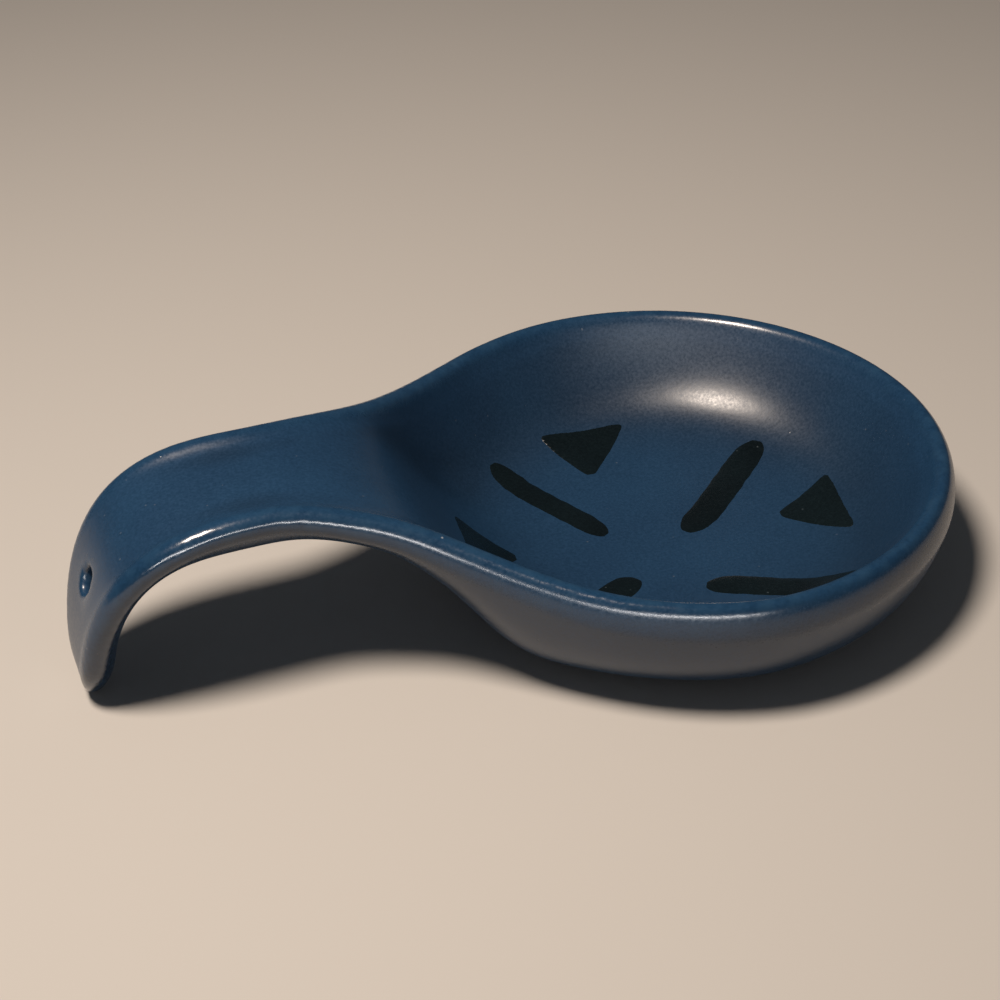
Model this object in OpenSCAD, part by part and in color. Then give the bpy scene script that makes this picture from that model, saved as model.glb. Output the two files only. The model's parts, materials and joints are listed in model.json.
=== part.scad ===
// Spoon rest: a round glazed ceramic bowl whose rim runs out into an arched trough handle.
// Origin in the middle of the bowl on the table, X away from the handle, Z up, all in mm.

/* [Bowl] */
// Outside diameter of the bowl over its rounded lip
bowl_d = 132; // [112:1:156]
// Height of the top of the bowl's lip above the table
bowl_h = 30.5; // [25:0.5:37]
// Thickness of the bowl's lip
lip_t = 5.7; // [4.6:0.1:6.6]
// Thickness of the floor at the middle of the bowl
floor_t = 5; // [4:0.1:7]

/* [Foot] */
// Diameter of the flat bare clay foot
foot_d = 84; // [64:1:90]
// Height of the foot
foot_h = 1.5; // [1:0.1:2.5]

/* [Handle] */
// Distance from the middle of the bowl to the crest of the handle
crest_reach = 100; // [90:1:112]
// Height of the lip's top at the crest of the handle
crest_h = 47; // [41:0.5:54]
// Outside width of the handle at its crest
handle_w = 38; // [30:0.5:46]
// Thickness of the handle's lip
handle_lip_t = 6.4; // [5:0.1:7.4]
// Thickness of the handle under its trough
handle_t = 9.4; // [7.5:0.1:11]
// Thickness of the handle's end, where the hole is
tip_t = 8.2; // [6.5:0.1:10]
// Depth of the trough below the handle's lip
trough_depth = 1.8; // [1:0.1:4]
// Distance from the middle of the bowl to the outer face of the tip
tip_reach = 138; // [130:1:150]
// Outside width of the tip where it stands on the table
tip_w = 14; // [10:0.5:18]
// Length over which the tip rounds off
tip_round = 12; // [8:0.5:15]

/* [Hanging hole] */
// Diameter of the hanging hole
hole_d = 6; // [4:0.1:8]
// Height of the hanging hole's centre above the table
hole_rise = 27; // [22:0.5:30]

/* [Painted marks] */
// Thickness of the dark glaze of the painted marks
paint_t = 0.5; // [0.3:0.05:0.8]
// Width of the painted bars
bar_w = 7.2; // [4:0.2:9]

/* [Hidden] */

// Round features
$fn = 96;
// Overrun of every cut
cut_over = 1;

// Rim of the bowl
rim_r = bowl_d / 2 - lip_t / 2;
rim_z = bowl_h - lip_t / 2;
// Angle at which the rim leaves the circle of the bowl, and the turn between two of its points
neck_angle = 80;
neck_turn = 15;
// Points that the rim is drawn to along the neck: shares of the way from the middle of the bowl
// to the crest, of the way out from the crest's lip to the bowl's, and of the rise to the crest
neck_shares = [
    [0.22, 0.90, 0.04], [0.35, 0.74, 0.06], [0.48, 0.52, 0.22],
    [0.60, 0.305, 0.48], [0.70, 0.16, 0.72], [0.80, 0.08, 0.87],
];
crest_flat_share = 0.09;
// Where along the neck the ribs leave the middle of the bowl, and where they stand square
rib_leave_share = 0.125;
rib_square_share = 0.58;
// Rim of the handle at the crest
crest_x = -crest_reach;
crest_z = crest_h - handle_lip_t / 2;
crest_y = handle_w / 2 - handle_lip_t / 2;
// Tongue, the part of the handle that bends down from the crest to the table
tip_x = -(tip_reach - handle_lip_t / 2);
tongue_crest_share = 0.68;
tongue_tip_share = 0.69;
tongue_taper_power = 2.5;
// Trough left at the tip, as a share of its depth at the crest, and where it has faded
trough_end_share = 0.1;
trough_fade_share = 0.45;

// Floor and underside along the middle line
floor_z = foot_h + floor_t;
belly_sink_share = 0.5;
belly_z = foot_h - floor_t * belly_sink_share;
// Points of both lines: shares of the way to the crest, and of the rise to the crest
floor_shares = [
    [0.20, 0], [0.38, 0.03], [0.47, 0.18], [0.55, 0.46], [0.63, 0.74], [0.73, 0.91], [0.87, 1],
];
belly_shares = [
    [0.25, 0], [0.42, 0.03], [0.50, 0.20], [0.57, 0.48], [0.66, 0.76], [0.78, 0.94], [0.90, 1],
];

// Fullness of the curves across the inside and the outside
inside_floor_share = 1;
inside_wall_share = 0.96;
outside_wall_share = 0.74;
outside_belly_share = 0.98;
// How much the inside flares and the outside leans in, in shares of a right angle's cosine
inside_flare_share = 0.5;
wall_lean_share = 0.24;
// How far the bowl's widest line lies below the lip's top, in shares of the lip's radius
lip_fall_share = 2.5;
// How much of the fullness is left where the neck is slimmest, and where it starts to shrink
neck_full_share = 0.72;
neck_slim_share = 0.42;
// How soon the lip's round turns into the wall, as a share of the wall's drop
turn_share = 0.35;
// Least drop of the outside below the lip
least_drop = 0.02;

// Painted marks: corners of the triangles and ends of the bars, as shares of the well's radius
well_share = 0.924;
well_r = bowl_d / 2 * well_share;
// Play between a mark and the floor under it
paint_play = 0.09;
triangle_back_shares = [[-0.10, 0.45], [-0.225, 0.71], [0.15, 0.695]];
triangle_right_shares = [[0.47, -0.09], [0.735, 0.04], [0.655, -0.34]];
triangle_left_shares = [[-0.60, -0.01], [-0.82, -0.17], [-0.76, 0.22]];
triangle_front_shares = [[-0.02, -0.56], [0.15, -0.755], [-0.21, -0.74]];
bar_back_right_shares = [[0.09, -0.045], [0.595, 0.365]];
bar_back_left_shares = [[-0.205, 0.05], [-0.465, 0.59]];
bar_front_right_shares = [[0.01, -0.395], [0.48, -0.655]];
bar_front_left_shares = [[-0.215, -0.26], [-0.60, -0.49]];
// Width of each bar as a share of bar_w, and the swing of its wavy line as a share of its length
bar_wide_shares = [1.02, 0.86, 1, 1];
bar_wave_shares = [0.01, 0.01, -0.02, 0.02];
// Bluntness of a triangle's tip, and how far and how much its two far corners are rounded
tip_blunt_share = 0.1;
corner_round_share = 0.12;
corner_left_share = 0.88;
corner_crowd_power = 1.3;
// How square a bar's ends are, and how wide its last row is
bar_square_power = 8;
bar_end_share = 0.3;
mark_steps = 12;
mark_rows = 5;

// Numbers of steps in the mesh
bowl_steps = 20;
leave_steps = 4;
neck_steps = 24;
tongue_steps = 12;
cap_steps = 7;
inside_steps = 11;
lip_steps = 12;
outside_steps = 11;

function mix(a, b, s) = a + (b - a) * s;
function ease(s) = s * s * (3 - 2 * s);
function unit(v) = v / norm(v);
function bez(p, t) = p[0] * pow(1 - t, 3) + p[1] * 3 * t * pow(1 - t, 2)
    + p[2] * 3 * t * t * (1 - t) + p[3] * pow(t, 3);
function bez_step(p, t) = (p[1] - p[0]) * 3 * pow(1 - t, 2)
    + (p[2] - p[1]) * 6 * t * (1 - t) + (p[3] - p[2]) * 3 * t * t;
function turn(drop, r, lean = 0) = acos(max(lean, 1 - turn_share * drop / r));

// Curves: the rim through the neck, the floor and the underside, and the tongue's spine
neck_r = rim_r * 3 / (2 + cos(neck_turn));
neck_rim = concat(
    [for (a = [neck_angle - neck_turn : neck_turn : neck_angle + neck_turn])
        [neck_r * cos(a), neck_r * sin(a), rim_z]],
    [for (s = neck_shares)
        [crest_x * s[0], mix(crest_y, rim_r, s[1]), mix(rim_z, crest_z, s[2])]],
    [for (s = [-1 : 1]) [crest_x * (1 + s * crest_flat_share), crest_y, crest_z]]
);
neck_spans = len(neck_rim) - 3;
function spline(p, u) = let (i = min(floor(u), len(p) - 4), t = u - i)
    (p[i] * pow(1 - t, 3) + p[i + 1] * (3 * t * t * t - 6 * t * t + 4)
    + p[i + 2] * (3 * t + 3 * t * t - 3 * t * t * t + 1) + p[i + 3] * t * t * t) / 6;
function spline_step(p, u) = let (i = min(floor(u), len(p) - 4), t = u - i)
    (-p[i] * pow(1 - t, 2) + p[i + 1] * (3 * t * t - 4 * t)
    + p[i + 2] * (1 + 2 * t - 3 * t * t) + p[i + 3] * t * t) / 2;
floor_end_z = crest_h - trough_depth;
belly_end_z = floor_end_z - handle_t;
function middle_line(shares, low, high) = [
    for (q = concat([[-shares[0][0], 0], [0, 0]], shares, [[1, 1], [2 - shares[len(shares) - 1][0], 1]]))
        [crest_x * q[0], 0, mix(low, high, q[1])]
];
floor_line = middle_line(floor_shares, floor_z, floor_end_z);
belly_line = middle_line(belly_shares, belly_z, belly_end_z);
tongue_spine = [
    [crest_x, 0, crest_z],
    [mix(crest_x, tip_x, tongue_crest_share), 0, crest_z],
    [tip_x, 0, crest_z * tongue_tip_share],
    [tip_x, 0, 0],
];

// A rib: lip centre, outward, up, lip radius, floor point and slope, belly point and slope,
// fullness, how far its widest line lies below the lip's top, and how square its inside stands
function bowl_rib(angle) = let (out = [cos(angle), sin(angle), 0])
    [out * rim_r + [0, 0, rim_z], out, [0, 0, 1], lip_t / 2, [0, 0, floor_z], 0, [0, 0, belly_z], 0, 1,
     lip_fall_share, 0];
function slope(p, u) = let (v = spline_step(p, u)) v[2] / v[0];
function line_at(p, x, low, high, n = 30) = let (middle = (low + high) / 2)
    n == 0 ? middle
    : spline(p, middle)[0] > x ? line_at(p, x, middle, high, n - 1)
    : line_at(p, x, low, middle, n - 1);
function spine_at(z, low, high, n = 30) = let (middle = (low + high) / 2)
    n == 0 ? middle
    : bez(tongue_spine, middle)[2] > z ? spine_at(z, middle, high, n - 1)
    : spine_at(z, low, middle, n - 1);
function clip(s) = max(0, min(1, s));
function follow(s) = ease(clip((s - rib_leave_share) / (rib_square_share - rib_leave_share)));
function neck_rib(s) = let (
    u = s * neck_spans, v = spline_step(neck_rim, u), plan = unit([v[0], v[1], 0]),
    lip = spline(neck_rim, u), x = min(0, lip[0]) * follow(s),
    a = line_at(floor_line, x, 0, len(floor_line) - 3),
    b = line_at(belly_line, x, 0, len(belly_line) - 3)
)
    [lip, [plan[1], -plan[0], 0], [0, 0, 1], mix(lip_t, handle_lip_t, ease(s)) / 2,
     spline(floor_line, a), slope(floor_line, a), spline(belly_line, b), slope(belly_line, b),
     mix(1, neck_full_share, pow(sin(180 * clip((s - neck_slim_share) / (1 - neck_slim_share))), 2)),
     mix(lip_fall_share, 1, ease(s)), ease(s)];
function pole_rib(s) = let (rib = neck_rib(s))
    [rib[0], rib[1], rib[2], rib[3], [0, 0, floor_z], 0, [0, 0, belly_z], 0, 1, rib[9], rib[10]];
tip_speed = 3 * crest_z * tongue_tip_share;
cap_share = tip_round / tip_speed;
function cap(t) = sqrt(max(0, 1 - pow(max(0, (t - 1 + cap_share) / cap_share), 2)));
function tongue_up(t) = let (v = unit(bez_step(tongue_spine, t))) [v[2], 0, -v[0]];
function tongue_rib(t) = let (
    up = tongue_up(t), middle = bez(tongue_spine, t),
    r = handle_lip_t / 2 * cap(t),
    half = mix(handle_w, tip_w, pow(t, tongue_taper_power)) / 2 * cap(t),
    fade = ease(min(1, t / trough_fade_share)),
    top = middle + up * (r - trough_depth * mix(1, trough_end_share, fade) * cap(t))
) [middle + [0, half - r, 0], [0, 1, 0], up, r, top, 0, top - up * mix(handle_t, tip_t, fade) * cap(t), 0, 1,
   1, 1];

// Half of the outline across the piece, from the floor's middle over the lip to the belly's middle
function inside_turn(rib) =
    turn((rib[0] - rib[4]) * rib[2] + rib[3], rib[3], inside_flare_share * (1 - rib[10]));
function inside_curve(rib) = let (
    p = rib[0], out = rib[1], up = rib[2], r = rib[3], c = rib[4],
    a = inside_turn(rib),
    lip = p - out * r * sin(a) + up * r * cos(a),
    drop = (lip - c) * up,
    corner = lip - up * drop - out * drop * cos(a) / sin(a),
    v = corner - c
) [c, c + inside_floor_share * rib[8] * [v[0], v[1], v[2] + v[0] * rib[5]],
   lip + inside_wall_share * (corner - lip), lip];
function outside_turn(rib) =
    turn(max(least_drop, (rib[0] - rib[6]) * rib[2] - rib[3] * rib[9]), rib[3], wall_lean_share);
function outside_curve(rib) = let (
    p = rib[0], out = rib[1], up = rib[2], r = rib[3], c = rib[6],
    a = outside_turn(rib),
    lip = p + out * r * sin(a) - up * r * (cos(a) + rib[9] - 1),
    drop = (lip - c) * up,
    corner = lip - up * drop - out * drop * cos(a) / sin(a),
    v = corner - c
) [lip, lip + outside_wall_share * rib[8] * (corner - lip),
   c + outside_belly_share * rib[8] * [v[0], v[1], v[2] + v[0] * rib[7]], c];
function half_outline(rib) = let (
    inside = inside_curve(rib), outside = outside_curve(rib), r = rib[3],
    from = -inside_turn(rib),
    to = 180 - outside_turn(rib)
) concat(
    [for (i = [0 : inside_steps - 1]) bez(inside, i / inside_steps)],
    [for (i = [0 : lip_steps - 1]) let (
        a = mix(from, to, i / lip_steps),
        fall = a < 0 ? 0 : (rib[9] - 1) * (1 - max(0, cos(a)))
    ) rib[0] + rib[1] * r * sin(a) + rib[2] * r * (cos(a) - fall)],
    [for (i = [0 : outside_steps]) bez(outside, i / outside_steps)]
);

// All ribs from the far end of the bowl to the tip, without the tip's last point
ribs = concat(
    [for (i = [0 : bowl_steps]) bowl_rib(neck_angle * i / bowl_steps)],
    [for (i = [1 : leave_steps]) pole_rib(rib_leave_share * i / leave_steps)],
    [for (i = [1 : neck_steps]) neck_rib(mix(rib_leave_share, 1, i / neck_steps))],
    [for (i = [1 : tongue_steps]) tongue_rib((1 - cap_share) * i / tongue_steps)],
    [for (i = [1 : cap_steps - 1]) tongue_rib(1 - cap_share + cap_share * sin(90 * i / cap_steps))]
);
last = len(ribs);
around = inside_steps + lip_steps + outside_steps;
grid = [for (rib = ribs) half_outline(rib)];

// Numbering: two poles of the bowl, the tip, the far rib, the two middle lines, then both sides
pole_steps = bowl_steps + leave_steps;
middle_count = last - 1 - pole_steps;
first_far = 3;
first_floor = first_far + around - 1;
first_belly = first_floor + middle_count;
first_side = first_belly + middle_count;
side_count = (last - 1) * (around - 1);
function number(side, i, j) =
    i == last ? 2
    : j == 0 ? (i <= pole_steps ? 0 : first_floor + i - pole_steps - 1)
    : j == around ? (i <= pole_steps ? 1 : first_belly + i - pole_steps - 1)
    : i == 0 ? first_far + j - 1
    : first_side + side * side_count + (i - 1) * (around - 1) + j - 1;
function flip(p) = [p[0], -p[1], p[2]];
shell_points = concat(
    [grid[0][0], grid[0][around], [tip_x, 0, 0]],
    [for (j = [1 : around - 1]) grid[0][j]],
    [for (i = [pole_steps + 1 : last - 1]) grid[i][0]],
    [for (i = [pole_steps + 1 : last - 1]) grid[i][around]],
    [for (i = [1 : last - 1]) for (j = [1 : around - 1]) grid[i][j]],
    [for (i = [1 : last - 1]) for (j = [1 : around - 1]) flip(grid[i][j])]
);
function whole(f) = f[0] != f[1] && f[1] != f[2] && f[2] != f[0];
function apart(a, b) = norm(shell_points[a] - shell_points[b]);
function across(a, b, c, d) = apart(a, c) < apart(b, d)
    ? [[a, b, c], [a, c, d]] : [[a, b, d], [b, c, d]];
function turned(f, side) = side == 0 ? f : [f[2], f[1], f[0]];
shell_faces = [
    for (side = [0, 1]) for (i = [0 : last - 1]) for (j = [0 : around - 1])
        let (a = number(side, i, j), b = number(side, i + 1, j),
             c = number(side, i + 1, j + 1), d = number(side, i, j + 1))
            for (f = across(a, b, c, d)) if (whole(f)) turned(f, side)
];

// Place of the hanging hole on the tongue's spine
hole_t = spine_at(hole_rise, 0, 1);
hole_at = bez(tongue_spine, hole_t);
hole_up = tongue_up(hole_t);

// Height of the floor under a point, from the facet that it lies on
facet_edge_share = 0.000001;
function area(a, b, c) = (b[0] - a[0]) * (c[1] - a[1]) - (b[1] - a[1]) * (c[0] - a[0]);
function shares_of(q, f) = let (all = area(f[0], f[1], f[2]))
    all == 0 ? [-1, -1, -1] : [area(q, f[1], f[2]), area(f[0], q, f[2]), area(f[0], f[1], q)] / all;
function spans(q, four, k) = q[k] <= max([for (p = four) p[k]]) && q[k] >= min([for (p = four) p[k]]);
function floor_under(x, y) = let (q = [x, abs(y)])
    [for (i = [0 : pole_steps + neck_steps - 1]) for (j = [0 : inside_steps - 1])
        let (four = [grid[i][j], grid[i + 1][j], grid[i + 1][j + 1], grid[i][j + 1]])
            if (spans(q, four, 0) && spans(q, four, 1))
                let (halves = norm(four[0] - four[2]) < norm(four[1] - four[3]))
                    for (f = halves ? [[0, 1, 2], [0, 2, 3]] : [[0, 1, 3], [1, 2, 3]])
                        let (corners = [for (k = f) four[k]], part = shares_of(q, corners))
                            if (min(part) >= -facet_edge_share) part * [for (p = corners) p[2]]][0];

// A mark is a thin pad on the floor, drawn as rows of points across its outline
module pad(rows) {
    n = len(rows);
    m = len(rows[0]);
    low = [for (row = rows) for (q = row) [q[0], q[1], floor_under(q[0], q[1]) + paint_play]];
    high = [for (p = low) p + [0, 0, paint_t]];
    all = n * m;
    rim = concat(
        [for (j = [0 : m - 1]) j],
        [for (i = [1 : n - 1]) i * m + m - 1],
        [for (j = [m - 2 : -1 : 0]) (n - 1) * m + j],
        [for (i = [n - 2 : -1 : 1]) i * m]
    );
    count = len(rim);
    polyhedron(concat(low, high), concat(
        [for (i = [0 : n - 2]) for (j = [0 : m - 2]) let (a = i * m + j)
            for (f = [[a, a + 1, a + m + 1], [a, a + m + 1, a + m]]) f],
        [for (i = [0 : n - 2]) for (j = [0 : m - 2]) let (a = all + i * m + j)
            for (f = [[a, a + m + 1, a + 1], [a, a + m, a + m + 1]]) f],
        [for (k = [0 : count - 1]) let (a = rim[k], b = rim[(k + 1) % count])
            for (f = [[a, a + all, b + all], [a, b + all, b]]) f]
    ), convexity = 4);
}

// A row across a mark, from one edge to the other
function row(middle, half) = [for (j = [-mark_rows : 2 : mark_rows]) middle + half * j / mark_rows];
function corner_fade(u) = mix(corner_left_share, 1,
    sqrt(1 - pow(clip((u - 1 + corner_round_share) / corner_round_share), 2)));
module triangle(shares) {
    tip = shares[0] * well_r;
    left = shares[1] * well_r;
    right = shares[2] * well_r;
    pad([for (i = [0 : mark_steps]) let (u = 1 - pow(1 - i / mark_steps, corner_crowd_power))
        row(mix(tip, (left + right) / 2, u),
            (right - left) / 2 * (u * corner_fade(u) + tip_blunt_share * (1 - u)))]);
}
module bar(shares, wide_share, wave_share) {
    from = shares[0] * well_r;
    to = shares[1] * well_r;
    side = unit([to[1] - from[1], from[0] - to[0]]);
    half = bar_w * wide_share / 2;
    swing = norm(to - from) * wave_share;
    pad([for (i = [0 : mark_steps]) let (
        u = (1 - cos(180 * i / mark_steps)) / 2,
        full = max(bar_end_share, sqrt(1 - pow(abs(2 * u - 1), bar_square_power)))
    ) row(mix(from, to, u) + side * swing * sin(360 * u), side * half * full)]);
}

module triangle_back() color("darkslategray") triangle(triangle_back_shares);
module triangle_right() color("darkslategray") triangle(triangle_right_shares);
module triangle_left() color("darkslategray") triangle(triangle_left_shares);
module triangle_front() color("darkslategray") triangle(triangle_front_shares);
module bar_back_right()
    color("darkslategray") bar(bar_back_right_shares, bar_wide_shares[0], bar_wave_shares[0]);
module bar_back_left()
    color("darkslategray") bar(bar_back_left_shares, bar_wide_shares[1], bar_wave_shares[1]);
module bar_front_right()
    color("darkslategray") bar(bar_front_right_shares, bar_wide_shares[2], bar_wave_shares[2]);
module bar_front_left()
    color("darkslategray") bar(bar_front_left_shares, bar_wide_shares[3], bar_wave_shares[3]);

module ceramic_body() {
    color("steelblue")
    difference() {
        polyhedron(shell_points, shell_faces, convexity = 8);
        translate([0, 0, belly_z - cut_over])
            cylinder(d = bowl_d, h = foot_h - belly_z + cut_over);
        translate(hole_at)
            rotate([0, atan2(hole_up[0], hole_up[2]), 0])
                translate([0, 0, -handle_t])
                    cylinder(d = hole_d, h = handle_t * 2);
    }
}

module bare_foot() {
    color("wheat") cylinder(d = foot_d, h = foot_h);
}

ceramic_body();
bare_foot();
triangle_back();
triangle_right();
triangle_left();
triangle_front();
bar_back_right();
bar_back_left();
bar_front_right();
bar_front_left();
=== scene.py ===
# %% [markdown]
# # A spoon rest of blue glazed stoneware
# The object is one fired piece: a round bowl whose rim runs out into an arched
# trough handle, with a few dark marks painted on the bowl's floor. The frame
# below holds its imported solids. They give the true shape in flat facets, so
# this lesson rounds them, melts the glaze over the edges and paints the marks.

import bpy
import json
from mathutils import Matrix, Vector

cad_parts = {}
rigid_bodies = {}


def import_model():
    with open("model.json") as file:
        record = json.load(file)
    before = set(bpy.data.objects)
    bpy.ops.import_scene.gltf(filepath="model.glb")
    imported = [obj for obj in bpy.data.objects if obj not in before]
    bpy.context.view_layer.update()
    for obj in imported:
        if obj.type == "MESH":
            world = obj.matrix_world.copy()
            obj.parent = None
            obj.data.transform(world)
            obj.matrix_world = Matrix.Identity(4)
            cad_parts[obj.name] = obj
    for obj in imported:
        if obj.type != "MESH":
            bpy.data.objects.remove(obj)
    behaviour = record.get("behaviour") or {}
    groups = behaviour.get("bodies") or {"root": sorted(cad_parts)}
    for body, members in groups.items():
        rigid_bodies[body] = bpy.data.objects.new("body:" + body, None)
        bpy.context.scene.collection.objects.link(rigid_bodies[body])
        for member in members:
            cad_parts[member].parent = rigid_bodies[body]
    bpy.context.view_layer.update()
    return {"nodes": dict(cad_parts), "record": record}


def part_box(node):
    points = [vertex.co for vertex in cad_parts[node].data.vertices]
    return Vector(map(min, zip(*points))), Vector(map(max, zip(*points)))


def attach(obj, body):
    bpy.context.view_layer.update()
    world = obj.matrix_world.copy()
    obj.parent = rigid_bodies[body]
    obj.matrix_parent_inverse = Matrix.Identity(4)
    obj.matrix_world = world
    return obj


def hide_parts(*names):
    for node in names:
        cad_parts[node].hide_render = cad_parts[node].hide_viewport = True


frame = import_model()
print("solids:", ", ".join(sorted(frame["nodes"])))

# %% [markdown]
# Every size below is in metres, because the frame is. Writing `6 * MM` keeps
# the numbers in the units that a potter would say.

# %% Units and modules
import json
import math

import bmesh
import bpy
from mathutils import Matrix, Vector, noise
from mathutils.bvhtree import BVHTree
from mathutils.kdtree import KDTree

MM = 0.001
WELD = 0.001 * MM
UP = Vector((0, 0, 1))

# %% [markdown]
# ## Helpers
# A bmesh is edited in memory and becomes an object only once it is finished.
# The object stays at the origin, with its place in its mesh, so that patterns
# on Object coordinates stay where they are.

# %% From bmesh to object and back
def finish_piece(name, bm, smooth=True):
    """Makes an object of a finished bmesh."""
    mesh = bpy.data.meshes.new(name)
    bm.to_mesh(mesh)
    bm.free()
    for face in mesh.polygons:
        face.use_smooth = smooth
    piece = bpy.data.objects.new(name, mesh)
    bpy.context.scene.collection.objects.link(piece)
    return piece


def welded_copy(node):
    """A bmesh of a solid of the frame, with its loose triangles joined."""
    bm = bmesh.new()
    bm.from_mesh(frame["nodes"][node].data)
    bmesh.ops.remove_doubles(bm, verts=bm.verts, dist=WELD)
    return bm


def bake_modifiers(piece):
    """Puts the result of a piece's modifiers into its mesh."""
    graph = bpy.context.evaluated_depsgraph_get()
    shaped = bpy.data.meshes.new_from_object(piece.evaluated_get(graph))
    piece.modifiers.clear()
    piece.data = shaped
    for face in shaped.polygons:
        face.use_smooth = True


# %% [markdown]
# ## The body
# Slip is cast in a mould, dried, fired and dipped in glaze. Nothing on it is
# flat or sharp. A box with a subdivision surface could be pulled into a spoon,
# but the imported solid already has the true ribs. So a copy of it becomes the
# cage: its triangles are joined in pairs, and Subdivision Surface rounds them.
# The hanging hole is taken out first, because long thin triangles around a
# hole would pucker, and it is drilled again in the smooth surface.

# %% Turn the solid into a clean cage
hole = next(m for m in frame["record"]["mounts"] if m["name"] == "hanging_hole")
hole_at = Vector(hole["pos_m"])
hole_axis = Vector(hole["axis"]).normalized()
hole_radius = hole["dims"]["r_mm"] * MM
PATCH_RADIUS = hole_radius * 1.05
PATCH_REACH = hole_radius * 5
PAIR_BEND = math.radians(40)
PAIR_SKEW = math.radians(60)


def from_hole_axis(point):
    """Distance of a point from the hole's axis."""
    offset = point - hole_at
    return (offset - hole_axis * offset.dot(hole_axis)).length


cage = welded_copy("ceramic_body")
near_hole = [
    face for face in cage.faces
    if any(from_hole_axis(v.co) < PATCH_RADIUS for v in face.verts)
    and (face.calc_center_median() - hole_at).length < PATCH_REACH
]
bmesh.ops.delete(cage, geom=near_hole, context="FACES")
open_edges = [edge for edge in cage.edges if edge.is_boundary]
bmesh.ops.holes_fill(cage, edges=open_edges, sides=0)
bmesh.ops.join_triangles(
    cage,
    faces=[f for f in cage.faces if len(f.verts) == 3],
    angle_face_threshold=PAIR_BEND,
    angle_shape_threshold=PAIR_SKEW,
)
print("cage:", len(cage.verts), "corners,", len(cage.faces), "faces")

# %% [markdown]
# ## Rounding and drilling
# Two levels of Catmull-Clark give a surface with no visible facets. The hole is
# a Boolean with a round cutter. A fine voxel remesh then gives even quads all
# over, and a light smoothing rounds the hole's edge a little, as melted glaze
# does.

# %% Round the cage and drill the hole
ROUNDING_LEVELS = 2
CUTTER_LENGTH = 22 * MM
CUTTER_SIDES = 64
VOXEL = 0.74 * MM
SOFTENING = 0.5
SOFTENING_ROUNDS = 4

hole_turn = hole_axis.to_track_quat("Z", "Y").to_matrix().to_4x4()
cutter_bm = bmesh.new()
bmesh.ops.create_cone(
    cutter_bm, cap_ends=True, segments=CUTTER_SIDES,
    radius1=hole_radius, radius2=hole_radius, depth=CUTTER_LENGTH,
    matrix=Matrix.Translation(hole_at) @ hole_turn,
)
cutter = finish_piece("hole_cutter", cutter_bm)

body = finish_piece("glazed_body", cage)
rounding = body.modifiers.new("rounding", "SUBSURF")
rounding.levels = rounding.render_levels = ROUNDING_LEVELS
drilling = body.modifiers.new("drilling", "BOOLEAN")
drilling.operation = "DIFFERENCE"
drilling.object = cutter
drilling.solver = "EXACT"
evening = body.modifiers.new("evening", "REMESH")
evening.mode = "VOXEL"
evening.voxel_size = VOXEL
softening = body.modifiers.new("softening", "SMOOTH")
softening.factor = SOFTENING
softening.iterations = SOFTENING_ROUNDS
bake_modifiers(body)
bpy.data.objects.remove(cutter)
print("glazed body:", len(body.data.polygons), "faces")

# %% [markdown]
# ## Where the glaze runs thin, and where hollows get painted shade
# Molten glaze pulls away from tight curves, so a lip is paler than the wall
# below it. Hollows are darkened with painted shade, as if less light reached
# them. A vertex on a convex curve stands proud of the mean of its neighbours,
# and one in a hollow lies below it. That difference, spread by a little
# smoothing, is stored as two attributes that the glaze material can read.

# %% Note each vertex's neighbours
curve_bm = bmesh.new()
curve_bm.from_mesh(body.data)
curve_bm.verts.ensure_lookup_table()
links = [[e.other_vert(v).index for e in v.link_edges] for v in curve_bm.verts]
places = [v.co.copy() for v in curve_bm.verts]
normals = [v.normal.copy() for v in curve_bm.verts]
curve_bm.free()
print("vertices of the body:", len(places))

# %% Measure the curves
RELAX_ROUNDS = 6
SPREAD_ROUNDS = 14
SHADE_SPREAD_ROUNDS = 24
TIGHTEST = 0.16 * MM
DEEPEST = 0.032 * MM


def evened(values, rounds):
    """Mixes each vertex's value with those of its neighbours, again and again."""
    for _ in range(rounds):
        values = [
            sum((values[k] for k in near), values[i]) / (len(near) + 1)
            for i, near in enumerate(links)
        ]
    return values


def store_mask(name, values):
    """Keeps a mask from 0 to 1 on the body's vertices."""
    mask = body.data.attributes.new(name, "FLOAT", "POINT")
    mask.data.foreach_set("value", [min(1.0, max(0.0, v)) for v in values])


relaxed = evened(places, RELAX_ROUNDS)
proud = [
    (place - mean).dot(normal)
    for place, mean, normal in zip(places, relaxed, normals)
]
proud = evened(proud, SPREAD_ROUNDS)
store_mask("thin_glaze", [p / TIGHTEST for p in proud])
# The hollow mask is painted shade: it darkens the colour in hollows.
proud = evened(proud, SHADE_SPREAD_ROUNDS)
store_mask("painted_hollow_shade", [-p / DEEPEST for p in proud])
print("proudest:", round(max(proud) / MM, 4), "mm")
print("deepest:", round(min(proud) / MM, 4), "mm")

# %% [markdown]
# ## The painted marks
# Each mark is a brush load of dark glaze that melted into the blue one. It has
# a soft, slightly wandering edge and stands a hair proud. The frame's pad gives
# its outline: only the pad's top is kept, rounded, laid on the smooth floor and
# sunk below it along its edge, and then given an underside. The edge is moved
# outwards by what the melting glaze bled, and by a little noise. Each point
# follows the middle of several edge points, so a sharp corner doesn't fold. The
# noise takes its place from a seed, so every run paints the same marks.

# %% Know the floor's height
CAST_FROM = 25 * MM

floor_bm = bmesh.new()
floor_bm.from_mesh(body.data)
floor_tree = BVHTree.FromBMesh(floor_bm)
floor_bm.free()


def floor_height(x, y):
    """Height of the bowl's floor under a point."""
    found = floor_tree.ray_cast(Vector((x, y, CAST_FROM)), -UP)
    return found[0].z


print("middle of the floor:", round(floor_height(0, 0) / MM, 2), "mm above the table")

# %% Take the top of a pad, and follow its rim
TOP_FACING = 0.5
SHEET_LEVELS = 3


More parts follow.
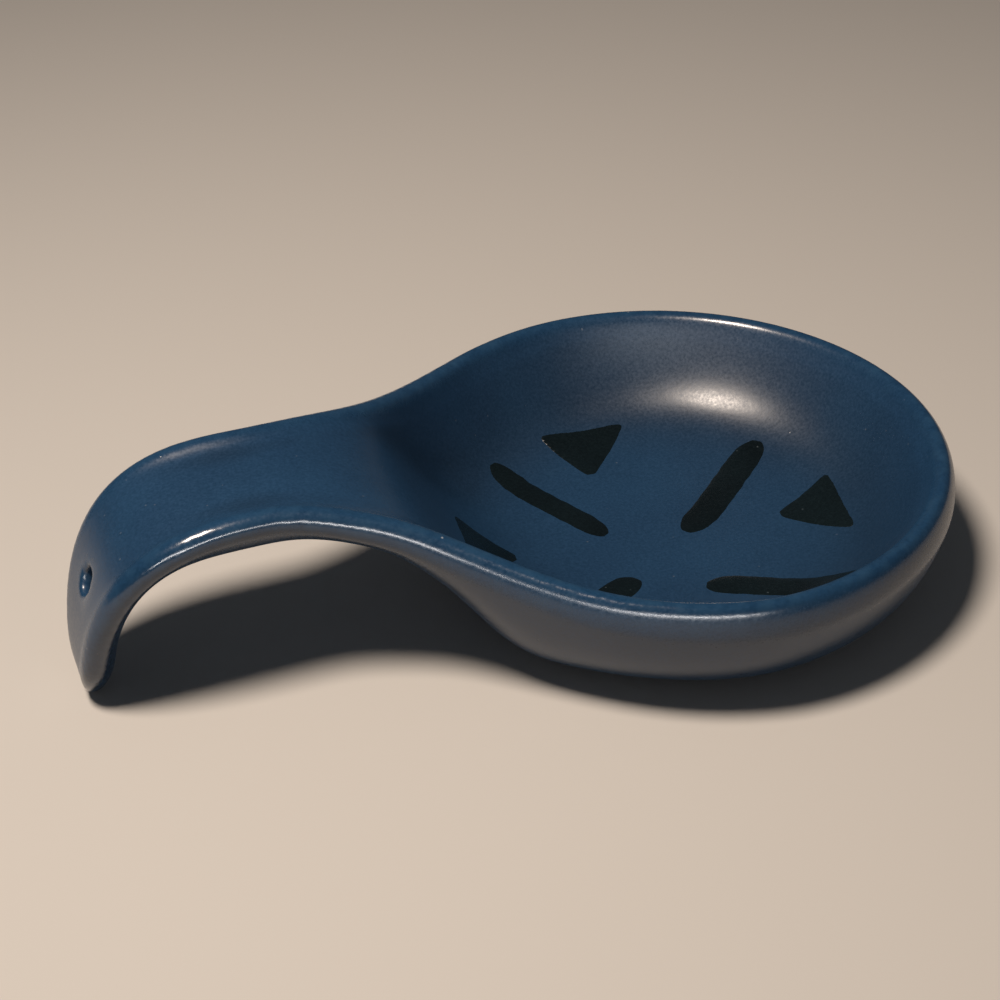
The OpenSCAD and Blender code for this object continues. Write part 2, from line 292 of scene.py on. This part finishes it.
def top_sheet(node):
    """The rounded top of a pad."""
    bm = welded_copy(node)
    bm.normal_update()
    not_top = [f for f in bm.faces if f.normal.z < TOP_FACING]
    bmesh.ops.delete(bm, geom=not_top, context="FACES")
    sheet = finish_piece(node + "_sheet", bm)
    finer = sheet.modifiers.new("finer", "SUBSURF")
    finer.levels = finer.render_levels = SHEET_LEVELS
    bake_modifiers(sheet)
    bm = bmesh.new()
    bm.from_mesh(sheet.data)
    bpy.data.objects.remove(sheet)
    return bm


def rim_of(bm):
    """A sheet's rim points in a search tree, and the way out of the sheet at each."""
    edge_verts = [v for v in bm.verts if v.is_boundary]
    rim = KDTree(len(edge_verts))
    outwards = []
    for i, v in enumerate(edge_verts):
        rim.insert(v.co, i)
        ends = [e.other_vert(v).co for e in v.link_edges if e.is_boundary]
        sideways = (ends[0] - ends[1]).cross(UP).normalized()
        inwards = sum((f.calc_center_median() - v.co for f in v.link_faces), 0 * UP)
        outwards.append(-sideways if sideways.dot(inwards) > 0 else sideways)
    rim.balance()
    return rim, outwards


# %% Lay a mark on the floor
MARK_PROUD = 0.16 * MM
MARK_SUNK = 0.05 * MM
MARK_DEPTH = 0.3 * MM
SOFT_EDGE = 0.7 * MM
WANDER = 0.28 * MM
WANDER_SIZE = 3.2 * MM
BLED = 0.40 * MM
RIM_NEIGHBOURS = 14


def paint_mark(node, name):
    """Makes the painted mark that stands for one pad of the frame."""
    bm = top_sheet(node)
    rim, outwards = rim_of(bm)
    for v in bm.verts:
        near = rim.find_n(v.co, RIM_NEIGHBOURS)
        near_edge = math.exp(-near[0][2] / SOFT_EDGE)
        bled = sum((outwards[i] for _, i, _ in near), 0 * UP) * (BLED / len(near))
        drift = noise.noise_vector(v.co / WANDER_SIZE) * WANDER + bled
        x, y = v.co.x + drift.x * near_edge, v.co.y + drift.y * near_edge
        lift = MARK_PROUD - (MARK_PROUD + MARK_SUNK) * near_edge
        v.co = Vector((x, y, floor_height(x, y) + lift))
    top = list(bm.faces)
    skirt = bmesh.ops.extrude_face_region(bm, geom=top)["geom"]
    lower = [v for v in skirt if isinstance(v, bmesh.types.BMVert)]
    bmesh.ops.translate(bm, verts=lower, vec=-MARK_DEPTH * UP)
    bmesh.ops.recalc_face_normals(bm, faces=bm.faces)
    return finish_piece(name, bm)


# %% Paint all the marks
MARK_NODES = [
    "triangle_back", "triangle_right", "triangle_left", "triangle_front",
    "bar_back_right", "bar_back_left", "bar_front_right", "bar_front_left",
]
WANDER_SEED = 4

noise.seed_set(WANDER_SEED)
marks = [paint_mark(node, "painted_" + node) for node in MARK_NODES]
for mark in marks:
    print(mark.name, len(mark.data.polygons), "faces")

# %% [markdown]
# ## The bare foot
# A glazed face would weld itself to the kiln shelf, so the potter wipes the foot
# clean. It is a low disc, turned from a circle: extruded, its edge rounded, and
# its underside dished a little so that it stands on its outer ring.

# %% Turn the foot
foot_low, foot_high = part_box("bare_foot")
FOOT_RADIUS = (foot_high[0] - foot_low[0]) / 2
FOOT_HEIGHT = foot_high[2] - foot_low[2]
FOOT_SIDES = 96
DOWN_FACING = -0.9
STANDING_RING = 7 * MM
DISH_SLOPE = 2 * MM
DISH_DEPTH = 0.5 * MM
FOOT_EDGE = 0.5 * MM
FOOT_EDGE_STEPS = 3

foot_bm = bmesh.new()
bmesh.ops.create_circle(foot_bm, cap_ends=True, segments=FOOT_SIDES, radius=FOOT_RADIUS)
underside = foot_bm.faces[:]
walls = bmesh.ops.extrude_face_region(foot_bm, geom=underside)["geom"]
raised = [v for v in walls if isinstance(v, bmesh.types.BMVert)]
bmesh.ops.translate(foot_bm, verts=raised, vec=FOOT_HEIGHT * UP)
bmesh.ops.recalc_face_normals(foot_bm, faces=foot_bm.faces)
bottom = next(f for f in foot_bm.faces if f.normal.z < DOWN_FACING)
outer_rim = list(bottom.edges)
bmesh.ops.inset_region(foot_bm, faces=[bottom], thickness=STANDING_RING)
bmesh.ops.inset_region(foot_bm, faces=[bottom], thickness=DISH_SLOPE, depth=-DISH_DEPTH)
bmesh.ops.bevel(
    foot_bm, geom=outer_rim, offset=FOOT_EDGE, segments=FOOT_EDGE_STEPS, profile=0.5,
    affect="EDGES", material=-1,
)
foot = finish_piece("bare_clay_foot", foot_bm)
print("foot:", len(foot.data.polygons), "faces")

# %% [markdown]
# ## Materials
# A material is a small tree of nodes. `add` makes one node, sets its options and
# fills its sockets, either with a value or with a link from another node.

# %% A node helper
def add(tree, kind, inputs=None, **options):
    """Adds a node to a tree and fills its sockets."""
    node = tree.nodes.new(kind)
    for option, value in options.items():
        setattr(node, option, value)
    for socket_name, value in (inputs or {}).items():
        socket = node.inputs[socket_name]
        if isinstance(value, bpy.types.NodeSocket):
            tree.links.new(value, socket)
        else:
            socket.default_value = value
    return node


def blend_colours(tree, factor, first, second):
    """Mixes two colours by a mask."""
    mix = add(tree, "ShaderNodeMix", data_type="RGBA")
    for index, value in ((0, factor), (6, first), (7, second)):
        if isinstance(value, bpy.types.NodeSocket):
            tree.links.new(value, mix.inputs[index])
        else:
            mix.inputs[index].default_value = value
    return mix.outputs[2]


def spread(tree, value, low, high, out_low=0.0, out_high=1.0):
    """Stretches a range of a value to another range."""
    scale = add(tree, "ShaderNodeMapRange", {
        "Value": value, "From Min": low, "From Max": high,
        "To Min": out_low, "To Max": out_high,
    })
    return scale.outputs["Result"]


def maths(tree, operation, *values):
    """One step of arithmetic on values and sockets."""
    step = add(tree, "ShaderNodeMath", dict(enumerate(values)), operation=operation)
    return step.outputs[0]


def noise_at(tree, where, scale, detail, **more):
    """Noise of a scale per metre."""
    cloud = add(tree, "ShaderNodeTexNoise", {
        "Vector": where, "Scale": scale, "Detail": detail, **more})
    return cloud.outputs["Fac"]


# %% [markdown]
# ## One glaze, two colours
# The blue ground and the dark marks are the same kind of satin glaze. Under a
# lens it has a cloudy drift of tone, a fine grain and a few pinholes. It is
# paler and glossier where it ran thin, and its hollows are darker with painted
# shade. One node group with named inputs holds all this, so that both materials can use
# it.
# The scale of a noise is per metre: 1500 is a grain of two thirds of a
# millimetre.

# %% Colour the glaze
CLOUD_SCALE = 42.0
GRAIN_SCALE = 1500.0
PATCH_SCALE = 320.0
PINHOLE_SCALE = 620.0
PINHOLE_CHANCE = (0.970, 0.980)


def ground_colour(tree, given, where, grain):
    """The drift of tone and the grain, with painted shade darkening the hollows."""
    tone = spread(tree, noise_at(tree, where, CLOUD_SCALE, 3.0), 0.35, 0.68)
    ground = blend_colours(tree, tone, given["Deep Colour"], given["Light Colour"])
    about_zero = spread(tree, grain, 0.3, 0.7, -1.0, 1.0)
    shift = maths(tree, "MULTIPLY", about_zero, given["Grain"])
    lightness = maths(tree, "ADD", shift, 1.0)
    # Painted shade: the hollow mask, times its depth, darkens the colour.
    shade_amount = maths(tree, "MULTIPLY", given["Painted Shade Mask"], given["Painted Shade Depth"])
    left_by_shade = maths(tree, "SUBTRACT", 1.0, shade_amount)
    grained = add(tree, "ShaderNodeHueSaturation", {
        "Color": ground, "Value": maths(tree, "MULTIPLY", lightness, left_by_shade)})
    return grained.outputs["Color"]


def thin_on_lips(tree, given, where, colour):
    """Shows the thin colour in patches on the lips."""
    patches = spread(tree, noise_at(tree, where, PATCH_SCALE, 4.0), 0.38, 0.72)
    thin = maths(tree, "MULTIPLY", given["Thinness"], patches)
    return blend_colours(tree, thin, colour, given["Thin Colour"])


def pinholes(tree, where):
    """A mask of small round dots in a few of many cells."""
    cells = add(tree, "ShaderNodeTexVoronoi", {"Vector": where, "Scale": PINHOLE_SCALE})
    dot = spread(tree, cells.outputs["Distance"], 0.20, 0.10)
    chosen = add(tree, "ShaderNodeSeparateColor", {"Color": cells.outputs["Color"]})
    few = spread(tree, chosen.outputs["Red"], *PINHOLE_CHANCE)
    return maths(tree, "MULTIPLY", dot, few)


# %% Give the glaze its relief
PEEL_SCALE = 700.0
PEEL_HEIGHT = 0.05 * MM
SWELL_SCALE = 60.0
SWELL_HEIGHT = 0.5 * MM
PINHOLE_DEPTH = 0.08 * MM


def glaze_relief(tree, where, holes):
    """The normal of a fine peel on a broad swell, pitted by the pinholes."""
    fine = add(tree, "ShaderNodeBump", {
        "Height": noise_at(tree, where, PEEL_SCALE, 3.0),
        "Distance": PEEL_HEIGHT, "Strength": 0.40,
    })
    broad = add(tree, "ShaderNodeBump", {
        "Height": noise_at(tree, where, SWELL_SCALE, 1.0),
        "Distance": SWELL_HEIGHT, "Strength": 0.22, "Normal": fine.outputs["Normal"],
    })
    pitted = add(tree, "ShaderNodeBump", {
        "Height": holes, "Distance": PINHOLE_DEPTH, "Strength": 0.6,
        "Normal": broad.outputs["Normal"],
    }, invert=True)
    return pitted.outputs["Normal"]


# %% Build the glaze group
GLAZE_COLOURS = ["Deep Colour", "Light Colour", "Thin Colour", "Fleck Colour"]
GLAZE_VALUES = [
    "Thinness", "Grain", "Flecks", "Roughness", "Lip Polish", "Painted Shade Mask", "Painted Shade Depth"]


def glaze_group():
    """Colour, roughness and normal of a satin glaze."""
    tree = bpy.data.node_groups.new("satin_glaze", "ShaderNodeTree")
    face = tree.interface
    for name in GLAZE_COLOURS:
        face.new_socket(name, in_out="INPUT", socket_type="NodeSocketColor")
    for name in GLAZE_VALUES:
        face.new_socket(name, in_out="INPUT", socket_type="NodeSocketFloat")
    face.new_socket("Colour", in_out="OUTPUT", socket_type="NodeSocketColor")
    face.new_socket("Roughness", in_out="OUTPUT", socket_type="NodeSocketFloat")
    face.new_socket("Normal", in_out="OUTPUT", socket_type="NodeSocketVector")
    given = add(tree, "NodeGroupInput").outputs
    where = add(tree, "ShaderNodeTexCoord").outputs["Object"]

    grain = noise_at(tree, where, GRAIN_SCALE, 2.0, Roughness=0.6)
    ground = ground_colour(tree, given, where, grain)
    edged = thin_on_lips(tree, given, where, ground)
    holes = pinholes(tree, where)
    paleness = maths(tree, "MULTIPLY_ADD", given["Thinness"], 0.5, given["Flecks"])
    flecked = blend_colours(
        tree, maths(tree, "MULTIPLY", holes, paleness), edged, given["Fleck Colour"])

    shimmer = spread(tree, grain, 0.3, 0.7, -0.05, 0.05)
    satin = maths(tree, "ADD", shimmer, given["Roughness"])
    polish = maths(tree, "MULTIPLY", given["Thinness"], given["Lip Polish"])

    out = add(tree, "NodeGroupOutput")
    tree.links.new(flecked, out.inputs["Colour"])
    tree.links.new(maths(tree, "SUBTRACT", satin, polish), out.inputs["Roughness"])
    tree.links.new(glaze_relief(tree, where, holes), out.inputs["Normal"])
    return tree


glaze = glaze_group()
print("glaze group:", len(glaze.nodes), "nodes")

# %% [markdown]
# The materials differ only in the values that they give to the group. Shader
# values that are the same all over, such as how strongly a glaze mirrors (its
# IOR), sit on the shader itself.

# %% Mix the two glazes
# The hollow mask feeds the painted shade of the glaze group.
MASK_SOCKETS = {"thin_glaze": "Thinness", "painted_hollow_shade": "Painted Shade Mask"}


def new_material(name):
    """An empty node material and its tree."""
    material = bpy.data.materials.new(name)
    material.use_nodes = True
    material.node_tree.nodes.clear()
    return material, material.node_tree


def glaze_material(name, ior, values):
    """A glaze with its own colours and brilliance."""
    material, tree = new_material(name)
    surface = add(tree, "ShaderNodeGroup", node_tree=glaze)
    for attribute, socket_name in MASK_SOCKETS.items():
        reader = add(tree, "ShaderNodeAttribute", attribute_name=attribute)
        tree.links.new(reader.outputs["Fac"], surface.inputs[socket_name])
    for socket_name, value in values.items():
        surface.inputs[socket_name].default_value = value
    shader = add(tree, "ShaderNodeBsdfPrincipled", {
        "Base Color": surface.outputs["Colour"],
        "Roughness": surface.outputs["Roughness"],
        "Normal": surface.outputs["Normal"],
        "IOR": ior,
    })
    out = add(tree, "ShaderNodeOutputMaterial")
    tree.links.new(shader.outputs["BSDF"], out.inputs["Surface"])
    return material


blue_glaze = glaze_material("blue_satin_glaze", 1.7, {
    "Deep Colour": (0.0105, 0.045, 0.108, 1),
    "Light Colour": (0.0130, 0.054, 0.126, 1),
    "Thin Colour": (0.022, 0.072, 0.150, 1),
    "Fleck Colour": (0.45, 0.50, 0.55, 1),
    "Grain": 0.14, "Flecks": 0.10, "Roughness": 0.36,
    # The hollows are darkened by half here, as painted shade.
    "Lip Polish": 0.20, "Painted Shade Depth": 0.5,
})
dark_glaze = glaze_material("dark_painted_glaze", 1.5, {
    "Deep Colour": (0.0020, 0.0055, 0.0075, 1),
    "Light Colour": (0.0040, 0.0100, 0.0130, 1),
    "Thin Colour": (0.010, 0.030, 0.045, 1),
    "Fleck Colour": (0.20, 0.26, 0.30, 1),
    "Grain": 0.22, "Flecks": 0.25, "Roughness": 0.25,
    "Lip Polish": 0.0, "Painted Shade Depth": 0.0,
})
print("glazes:", blue_glaze.name, dark_glaze.name)

# %% [markdown]
# ## Bare clay
# Fired stoneware without glaze is warm buff and quite matte, with fine sand in
# it. Two noises make it: a broad one for the drift of the buff, and a fine one
# that both darkens the grains of sand and raises them.

# %% Mix the clay
DRIFT_SCALE = 90.0
SAND_SCALE = 2200.0
SAND_HEIGHT = 0.06 * MM
DEEP_BUFF = (0.40, 0.27, 0.17, 1)
PALE_BUFF = (0.55, 0.40, 0.27, 1)
DARK_SAND = (0.16, 0.10, 0.07, 1)


def clay_material():
    """Unglazed stoneware with fine sand."""
    material, tree = new_material("bare_stoneware")
    where = add(tree, "ShaderNodeTexCoord").outputs["Object"]
    drift = spread(tree, noise_at(tree, where, DRIFT_SCALE, 5.0), 0.3, 0.7)
    sand = noise_at(tree, where, SAND_SCALE, 2.0)
    ground = blend_colours(tree, drift, DEEP_BUFF, PALE_BUFF)
    speckled = blend_colours(tree, spread(tree, sand, 0.60, 0.75), ground, DARK_SAND)
    bump = add(tree, "ShaderNodeBump", {
        "Height": sand, "Distance": SAND_HEIGHT, "Strength": 0.7})
    shader = add(tree, "ShaderNodeBsdfPrincipled", {
        "Base Color": speckled, "Roughness": 0.85, "Normal": bump.outputs["Normal"]})
    out = add(tree, "ShaderNodeOutputMaterial")
    tree.links.new(shader.outputs["BSDF"], out.inputs["Surface"])
    return material


clay = clay_material()
print("clay:", clay.name)

# %% [markdown]
# ## Putting the pieces on the frame
# Each piece rides on the object's one body and takes the place of the solid it
# was made from, which is hidden.

# %% Dress the frame
dressed = [
    (body, "ceramic_body", "blue_glaze", blue_glaze),
    (foot, "bare_foot", "bare_clay", clay),
]
dressed += [
    (mark, node, "dark_glaze", dark_glaze)
    for mark, node in zip(marks, MARK_NODES)
]
for piece, node, slot, material in dressed:
    piece.data.materials.clear()
    piece.data.materials.append(material)
    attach(piece, "root")
    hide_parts(node)
print("dressed:", len(dressed), "pieces")

# %% [markdown]
# ## The table
# A plain pale table keeps the eye on the object and still catches its shadow.
# It throws less light up than it shows to the camera and to the glaze, so the
# underside of the bowl stays as dark as in a dim room.

# %% Lay the table
TABLE_SIZE = 4.0
TABLE_SEEN = (0.64, 0.62, 0.59, 1)
TABLE_LIGHTING = (0.16, 0.14, 0.13, 1)

table_bm = bmesh.new()
bmesh.ops.create_grid(table_bm, x_segments=1, y_segments=1, size=TABLE_SIZE / 2)
table = finish_piece("table", table_bm, smooth=False)
table_paint, table_tree = new_material("pale_table")
rays = add(table_tree, "ShaderNodeLightPath").outputs
mirrored = maths(
    table_tree, "MAXIMUM", rays["Is Glossy Ray"], rays["Is Transmission Ray"])
seen = maths(table_tree, "MAXIMUM", rays["Is Camera Ray"], mirrored)
table_shader = add(table_tree, "ShaderNodeBsdfPrincipled", {
    "Base Color": blend_colours(table_tree, seen, TABLE_LIGHTING, TABLE_SEEN),
    "Roughness": 0.8})
table_out = add(table_tree, "ShaderNodeOutputMaterial")
table_tree.links.new(table_shader.outputs["BSDF"], table_out.inputs["Surface"])
table.data.materials.append(table_paint)
print("table:", TABLE_SIZE, "m wide")

# %% [markdown]
# ## Light
# One warm soft lamp hangs high on the left. It gives the pool of light on the
# far side of the bowl's floor and the bright spot on the far lip, and because
# it hangs near, the handle is lit more than the far side. The thin line along
# the near lip is the mirror image of a long pale strip, low in front. The strip
# is only mirrored and lights nothing, like the white card that a photographer
# stands beside a glazed pot. The room is a dim, even grey.

# %% Hang the lamps
ROOM_COLOUR = (0.80, 0.86, 0.95, 1)
ROOM_STRENGTH = 0.05


def soft_lamp(name, aim_at, direction, distance, size, power, colour):
    """An oval area lamp that looks at a point, given in millimetres, of the object."""
    lamp_data = bpy.data.lights.new(name, "AREA")
    lamp_data.shape = "ELLIPSE"
    lamp_data.size, lamp_data.size_y = size
    lamp_data.energy = power
    lamp_data.color = colour
    lamp = bpy.data.objects.new(name, lamp_data)
    aim = Vector(direction).normalized()
    lamp.location = Vector(aim_at) * MM + aim * distance
    lamp.rotation_euler = aim.to_track_quat("Z", "Y").to_euler()
    bpy.context.scene.collection.objects.link(lamp)
    return lamp


soft_lamp(
    "warm_lamp", aim_at=(20, 35, 10), direction=(-0.40, -0.18, 0.90), distance=0.72,
    size=(0.17, 0.17), power=4.9, colour=(1.0, 0.85, 0.72),
)
strip = soft_lamp(
    "long_strip", aim_at=(-60, 0, 30), direction=(-0.25, -0.90, 0.27), distance=1.1,
    size=(1.1, 0.10), power=5.0, colour=(1.0, 0.97, 0.95),
)
strip.visible_diffuse = False
world = bpy.data.worlds.new("room")
bpy.context.scene.world = world
world.use_nodes = True
air = world.node_tree.nodes["Background"]
air.inputs["Color"].default_value = ROOM_COLOUR
air.inputs["Strength"].default_value = ROOM_STRENGTH

# %% [markdown]
# ## Camera
# The camera's place was found by fitting the rim, the handle and the table in
# the photograph: a long lens, about twenty degrees to the left of square and
# thirty-four above the table, turned a little about its own axis.

# %% Set up the camera
CAMERA_TARGET = Vector((-39.8, 0, 25.1)) * MM
CAMERA_DISTANCE = 448.4 * MM
CAMERA_AZIMUTH = math.radians(-19.90)
CAMERA_ELEVATION = math.radians(33.93)
CAMERA_ROLL = math.radians(-1.23)
SENSOR_WIDTH = 36
FOCAL_LENGTH = 72.2

camera_data = bpy.data.cameras.new("camera")
camera_data.sensor_width = SENSOR_WIDTH
camera_data.lens = FOCAL_LENGTH
camera_data.clip_start = 10 * MM
camera = bpy.data.objects.new("camera", camera_data)
bpy.context.scene.collection.objects.link(camera)
back = Vector((
    math.sin(CAMERA_AZIMUTH) * math.cos(CAMERA_ELEVATION),
    -math.cos(CAMERA_AZIMUTH) * math.cos(CAMERA_ELEVATION),
    math.sin(CAMERA_ELEVATION),
))
camera.location = CAMERA_TARGET + back * CAMERA_DISTANCE
turn = back.to_track_quat("Z", "Y").to_matrix() @ Matrix.Rotation(CAMERA_ROLL, 3, "Z")
camera.rotation_euler = turn.to_euler()
bpy.context.scene.camera = camera
bpy.context.scene.view_settings.view_transform = "Standard"
print("camera at", [round(c / MM, 1) for c in camera.location])
